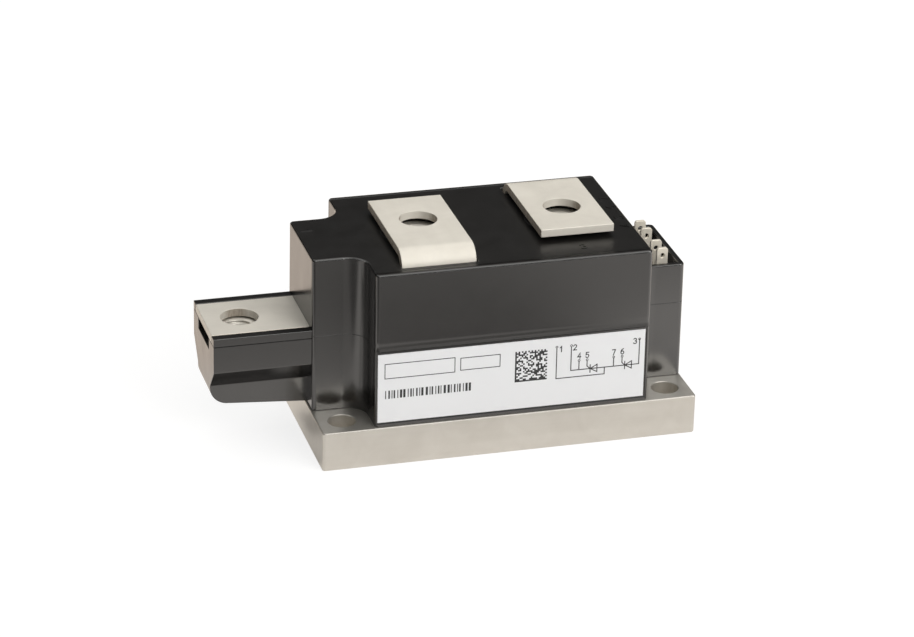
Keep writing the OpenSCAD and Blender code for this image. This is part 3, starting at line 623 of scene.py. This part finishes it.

# Painted shade in the joint: a thin black bead that stands in for the shadow in the gap, along the tongue and
# the long walls
WALL_SIDE = WALL_FOOT - (SEAM - BASE_TOP) * math.tan(DRAFT)
TONGUE_RUN = (-68.8 * MM, -61.0 * MM, -53.2 * MM, -45.8 * MM)
WALL_RUN = (-32.6 * MM, -11.0 * MM, 11.0 * MM, 32.6 * MM)
SHADE_BEAD_SINK, SHADE_BEAD_DEPTH, SHADE_BEAD_REACH = 0.01 * MM, 0.12 * MM, 0.13 * MM
bm = bmesh.new()
for way in (-1, 1):
    for run, side, height in ((TONGUE_RUN, TONGUE_SIDE, TONGUE_SEAM), (WALL_RUN, WALL_SIDE, SEAM)):
        y = way * (side - SHADE_BEAD_SINK - SHADE_BEAD_DEPTH / 2)
        ribbon(bm, [(x, y) for x in run], SHADE_BEAD_DEPTH, height - SHADE_BEAD_REACH, height + SHADE_BEAD_REACH)
add_piece("joint_shade_bead", bm, JOINT_SHADE)


# Print on the label, in millimetres from its lower left corner

LABEL_PLANE = Matrix((
    (MM, 0, 0, LABEL_LOW.x),
    (0, MM * math.sin(DRAFT), -MM * math.cos(DRAFT), LABEL_LOW.y),
    (0, MM * math.cos(DRAFT), MM * math.sin(DRAFT), LABEL_LOW.z),
    (0, 0, 0, 1),
))
LINE, RING_LINE, FIELD_LINE = 0.24, 0.16, 0.2
PRINT_SIZE = 1.35

# Strokes that cross end at different heights
INK_FOOT, INK_TOP = -0.02, 0.012
INK_STEP, INK_STEPS = 0.0004, 5


def print_on_label(name, strokes, numbers=()):
    """Strokes are (width, points), and numbers are (number, u, v)."""
    bm = bmesh.new()
    for k, (width, points) in enumerate(strokes):
        ribbon(bm, points, width, INK_FOOT, INK_TOP + INK_STEP * (k % INK_STEPS))
    for number, u, v in numbers:
        digit(bm, number, (u, v), PRINT_SIZE, LINE, INK_FOOT, INK_TOP)
    add_piece(name, bm, INK, LABEL_PLANE)


# Circuit diagram: the places of its terminals, and the heights of its lines, rings and digits
PIN_U = {1: 43.5, 2: 47.1, 3: 64.0, 4: 49.1, 5: 51.1, 7: 57.7, 6: 59.8}
TERMINALS, TABS = (1, 2, 3), (4, 5, 7, 6)
TERMINAL_RING_V, TAB_RING_V, TAB_DIGIT_V = 15.0, 10.95, 11.5
RING_RADIUS = 0.24
MAIN_V, LOOP_V, TAB_V = 8.55, 6.8, 10.7
LOOP_U = 55.45
SYMBOL_LONG, SYMBOL_HALF = 1.7, 0.95
GATE_TOP_V, GATE_BEND_V = MAIN_V + 2.15, MAIN_V + 0.75


def circle(x, y, radius):
    return arc(x, y, radius, radius, 0, 330, 11) + [(x + radius, y)]


def thyristor(bar_u, gate_u):
    """Symbol on the main line, pointing left, with its gate lead."""
    back_u, low_v, high_v = bar_u + SYMBOL_LONG, MAIN_V - SYMBOL_HALF, MAIN_V + SYMBOL_HALF
    return [
        (LINE, [(bar_u, low_v), (bar_u, high_v)]),
        (LINE, [(bar_u, MAIN_V), (back_u, high_v), (back_u, low_v), (bar_u, MAIN_V)]),
        (LINE, [(gate_u, GATE_TOP_V), (gate_u, GATE_BEND_V), (bar_u, MAIN_V)]),
    ]


schematic = [
    (LINE, [(PIN_U[1], 14.5), (PIN_U[1], LOOP_V), (LOOP_U, LOOP_V), (LOOP_U, MAIN_V)]),
    (LINE, [(PIN_U[2], 14.7), (PIN_U[2], MAIN_V), (PIN_U[3], MAIN_V), (PIN_U[3], 14.9)]),
    (LINE, [(PIN_U[4], MAIN_V), (PIN_U[4], TAB_V)]),
    (LINE, [(PIN_U[7], MAIN_V), (PIN_U[7], TAB_V)]),
]
schematic += thyristor(51.9, PIN_U[5]) + thyristor(60.5, PIN_U[6])
for pins, v in ((TABS, TAB_RING_V), (TERMINALS, TERMINAL_RING_V)):
    schematic += [(RING_LINE, circle(PIN_U[pin], v, RING_RADIUS)) for pin in pins]
numbers = [(1, 44.6, 13.7), (2, 48.0, 13.8), (3, 62.9, 13.9)]
numbers += [(pin, PIN_U[pin], TAB_DIGIT_V) for pin in TABS]
print_on_label("label_schematic", schematic, numbers)

# Square code with a made-up pattern: solid left and lower sides, broken right and upper sides
CODE_U, CODE_V, CODE_SIZE, CODE_CELLS = 33.3, 6.9, 7.9, 20
CELL = CODE_SIZE / CODE_CELLS
CELL_FILL = 0.995
LEAST_RUN = 0.001


def dark_cell(i, j):
    if i == 0 or j == 0:
        return True
    if i == CODE_CELLS - 1:
        return j % 2 == 0
    if j == CODE_CELLS - 1:
        return i % 2 == 0
    return (7 * i * i + 13 * j * j + 5 * i * j + 3 * i + 11 * j) % 17 < 8


cells = []
for j in range(CODE_CELLS):
    v = CODE_V + (j + 0.5) * CELL
    for dark, run in groupby(range(CODE_CELLS), lambda i: dark_cell(i, j)):
        run = list(run)
        if dark:
            start, end = (CODE_U + (i + 0.5) * CELL for i in (run[0], run[-1]))
            cells.append((CELL * CELL_FILL, [(start, v), (max(end, start + LEAST_RUN), v)]))
print_on_label("label_code_square", cells)

# Blank name fields, as left, right, low and high, and a line of plain bars
FIELDS = ((1.7, 18.6, 11.2, 14.9), (20.0, 29.6, 11.5, 14.6))
BARS_LEFT, BARS_RIGHT, BARS_LOW, BARS_HIGH = 1.8, 22.8, 6.0, 8.1
BAR_WIDTH, BAR_WIDER = 0.22, 0.16
BAR_GAP, BAR_GAP_WIDER = 0.26, 0.14
fields = []
for left, right, low, high in FIELDS:
    fields.append((FIELD_LINE, [(left, low), (right, low), (right, high), (left, high), (left, low)]))
u, k = BARS_LEFT, 0
while u < BARS_RIGHT:
    width = BAR_WIDTH + BAR_WIDER * ((k * k + 3 * k) % 7 % 3)
    half = width / 2
    fields.append((width, [(u + half, BARS_LOW + half), (u + half, BARS_HIGH - half)]))
    u += width + BAR_GAP + BAR_GAP_WIDER * ((5 * k + 2) % 3)
    k += 1
print_on_label("label_fields", fields)


# Camera, light and floor

# The photo's camera: its width and focal length are in pixels
PHOTO_WIDTH = 914.0
PHOTO_FOCAL = 3492.2
SENSOR_WIDTH = 36.0
CAMERA_RIGHT = Vector((0.963170, -0.267969, 0.022276))
CAMERA_UP = Vector((0.093267, 0.410629, 0.907020))
CAMERA_PLACE = (-218.675 * MM, -731.734 * MM, 377.328 * MM)

camera_data = bpy.data.cameras.new("camera")
camera_data.sensor_width = SENSOR_WIDTH
camera_data.lens = PHOTO_FOCAL * SENSOR_WIDTH / PHOTO_WIDTH
camera_data.clip_start = 0.01
camera_data.clip_end = 50.0
camera = bpy.data.objects.new("camera", camera_data)
rows = zip(CAMERA_RIGHT, CAMERA_UP, CAMERA_RIGHT.cross(CAMERA_UP), CAMERA_PLACE)
camera.matrix_world = Matrix((*rows, (0, 0, 0, 1)))
SCENE.collection.objects.link(camera)
SCENE.camera = camera


def area(name, place, target, size, power, tint):
    data = bpy.data.lights.new(name, "AREA")
    data.shape = "RECTANGLE"
    data.size, data.size_y = size
    data.energy = power
    data.color = tint
    lamp = bpy.data.objects.new(name, data)
    lamp.location = place
    lamp.rotation_euler = (Vector(target) - Vector(place)).to_track_quat("-Z", "Y").to_euler()
    SCENE.collection.objects.link(lamp)


area("back_top", (-0.25, 0.70, 1.40), (0, 0, 0.03), (2.2, 1.2), 9.2, (1.0, 0.98, 0.95))
area("front_top", (0.42, -0.85, 1.05), (0, 0, 0.02), (2.2, 1.6), 11.6, (1.0, 0.985, 0.96))
area("front", (0.75, -1.35, 0.80), (0, 0, 0.02), (1.1, 0.8), 12.1, (1.0, 0.99, 0.97))

# Levels of the studio round the module, from the horizon up
STUDIO = ((0.0, 0.03), (0.5, 0.03), (0.72, 0.3), (1.0, 0.45))
STUDIO_BLUE = 0.98

world = bpy.data.worlds.new("studio")
world.use_nodes = True
SCENE.world = world
studio = Tree(world.node_tree)
ramp = studio.node("ShaderNodeValToRGB")
height = studio.axes(studio.node("ShaderNodeTexCoord").outputs["Generated"])["Z"]
studio.link(height, ramp.inputs["Fac"])
studio.link(ramp.outputs["Color"], studio.tree.nodes["Background"].inputs["Color"])
stops = ramp.color_ramp.elements
for position, _ in STUDIO[1:-1]:
    stops.new(position)
for stop, (position, level) in zip(stops, STUDIO):
    stop.position = position
    stop.color = (level, level, level * STUDIO_BLUE, 1.0)

FLOOR_REACH = 4.0
FLOOR_DROP = 0.05 * MM
floor_corners = [(x * FLOOR_REACH, y * FLOOR_REACH, 0) for x, y in ((-1, -1), (1, -1), (1, 1), (-1, 1))]
floor_mesh = bpy.data.meshes.new("floor")
floor_mesh.from_pydata(floor_corners, [], [(0, 1, 2, 3)])
floor = bpy.data.objects.new("floor", floor_mesh)
floor.location.z = -FLOOR_DROP
SCENE.collection.objects.link(floor)

# Where the painted light of the mirrored paper changes its level, along X or Y: painted pools of glow, and
# painted shade on the far left
BACK_Y, FAR_FRONT_Y, FRONT_Y = (-0.045, 0.025), (-0.112, -0.135), (-0.028, -0.050)
FAR_LEFT_X, FAR_LEFT_Y = (-0.065, -0.085), (0.0, -0.02)
RIGHT_POOL_X, RIGHT_POOL_Y = (0.022, 0.060), (-0.125, -0.070)
LEFT_POOL_X, LEFT_POOL_END_X, LEFT_POOL_Y = (-0.008, -0.030), (-0.085, -0.065), (-0.105, -0.070)
RIGHT_SIDE_X, RIGHT_SIDE_Y = (0.045, 0.07), (-0.06, -0.03)
FOOT_Y, FOOT_END_Y = (-0.012, -0.025), (-0.064, -0.048)
WARM_GLOW_Y = (0.0, 0.05)

# Painted shadow below the tongue, in the mirrored paper: its middle, its half sizes and its soft edge
TONGUE_SHADOW_X, TONGUE_SHADOW_HALF_X, TONGUE_SHADOW_HALF_Y, TONGUE_SHADOW_FADE = -0.061, 0.009, 0.004, 0.004

WHITE = (1.0, 1.0, 1.0)
PAPER, SEEN_PAPER, SEEN_GLOW = (0.82, 0.82, 0.82), (0.3, 0.3, 0.3), 0.8
MIRRORED_DARK, MIRRORED_LIGHT = (0.0, 0.0, 0.0), (0.2, 0.2, 0.2)
# Tints of the painted glow seen in reflections, warmer towards the back
FRONT_GLOW_TINT, BACK_GLOW_TINT = (1.0, 0.95, 0.90), (1.0, 0.84, 0.70)


def floor_paper():
    """White paper: plain for bounced light, and near white where it is seen.

    Where it is mirrored, it has painted pools of light, painted shade on the far left, a painted shadow below
    the tongue and a painted warm glow towards the back.
    """
    g = Graph("floor_paper")
    g.tree.nodes.remove(g.shader)

    def sheet(white, strength, tint):
        matt = g.node("ShaderNodeBsdfDiffuse")
        shine = g.node("ShaderNodeEmission")
        g.feed(matt.inputs["Color"], white)
        g.feed(shine.inputs["Strength"], strength)
        g.feed(shine.inputs["Color"], tint)
        both = g.node("ShaderNodeAddShader")
        g.link(matt.outputs[0], both.inputs[0])
        g.link(shine.outputs[0], both.inputs[1])
        return both.outputs[0]

    def choose(ray, usual, special):
        pick = g.node("ShaderNodeMixShader")
        g.link(ray, pick.inputs["Fac"])
        g.link(usual, pick.inputs[1])
        g.link(special, pick.inputs[2])
        return pick.outputs[0]

    x, y, _ = g.axes(g.place)
    # Painted light seen in reflections only: glow levels and pools laid over the paper, with less of it on
    # the far left
    level = g.plus(g.fade(y, *BACK_Y, 0.30, 0.95), g.fade(y, *FAR_FRONT_Y, 0.0, 0.10))
    far_left_shade = g.times(g.fade(y, *FAR_LEFT_Y, 0.0, 0.14), g.fade(x, *FAR_LEFT_X, 0.0, 1.0))
    level = g.maths("SUBTRACT", level, far_left_shade)
    in_front = g.fade(y, *FRONT_Y, 0.0, 1.0)
    right_pool = g.times(g.fade(x, *RIGHT_POOL_X, 0.0, 0.65), g.fade(y, *RIGHT_POOL_Y, 0.35, 1.0))
    left_pool = g.times(g.fade(x, *LEFT_POOL_X, 0.0, 0.22), g.fade(x, *LEFT_POOL_END_X, 0.0, 1.0))
    left_pool = g.times(left_pool, g.fade(y, *LEFT_POOL_Y, 0.2, 1.0))
    level = g.plus(level, g.times(in_front, g.plus(right_pool, left_pool)))
    right_side_glow = g.times(g.fade(x, *RIGHT_SIDE_X, 0.0, 0.95), g.fade(y, *RIGHT_SIDE_Y, 0.0, 1.0))
    glow_at_foot = g.times(g.fade(y, *FOOT_Y, 0.0, 0.80), g.fade(y, *FOOT_END_Y, 0.0, 1.0))
    level = g.maths("MAXIMUM", level, g.maths("MAXIMUM", right_side_glow, glow_at_foot))
    # Painted shadow below the tongue: no glow there in reflections
    off_x = g.maths("SUBTRACT", g.away(x, TONGUE_SHADOW_X), TONGUE_SHADOW_HALF_X)
    off_y = g.maths("SUBTRACT", g.maths("ABSOLUTE", y), TONGUE_SHADOW_HALF_Y)
    off_tongue_shadow = g.fade(g.maths("MAXIMUM", off_x, off_y), 0.0, TONGUE_SHADOW_FADE, 0.0, 1.0)
    level = g.times(level, off_tongue_shadow)
    white = g.mix(level, MIRRORED_DARK, MIRRORED_LIGHT)
    # Painted warm glow towards the back, in reflections
    tint = g.mix(g.fade(y, *WARM_GLOW_Y, 0.0, 1.0), FRONT_GLOW_TINT, BACK_GLOW_TINT)

    path = g.node("ShaderNodeLightPath")
    mirrored = g.maths("MAXIMUM", path.outputs["Is Glossy Ray"], path.outputs["Is Transmission Ray"])
    surface = choose(mirrored, sheet(PAPER, 0.0, WHITE), sheet(white, level, tint))
    surface = choose(path.outputs["Is Camera Ray"], surface, sheet(SEEN_PAPER, SEEN_GLOW, WHITE))
    g.link(surface, g.tree.nodes["Material Output"].inputs["Surface"])
    return g.material


floor_mesh.materials.append(floor_paper())
